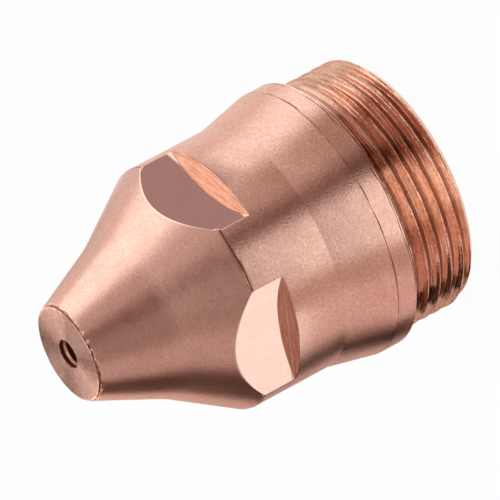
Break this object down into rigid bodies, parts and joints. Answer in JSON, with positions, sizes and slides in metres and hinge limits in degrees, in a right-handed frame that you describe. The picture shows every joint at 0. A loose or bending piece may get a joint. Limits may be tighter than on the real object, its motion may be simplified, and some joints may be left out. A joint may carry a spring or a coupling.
{
  "type": "plasma torch nozzle",
  "caption": "One-piece copper plasma torch nozzle: conical nose with jet orifice, plain band with milled spanner flats, seating collar and threaded shank over an open electrode chamber.",
  "frame": {"origin": "centre of the rear (thread end) face, on the surface that the nozzle stands on", "axes": "+Z along the nozzle's axis towards the nose; +X and +Y square to two neighbouring spanner flats"},
  "size_m": [0.02, 0.02, 0.0277],
  "materials": {
    "copper": "bare turned copper, satin outside, bright milled flats"
  },
  "bodies": {
    "root": {"nozzle": "copper"}
  },
  "joints": []
}
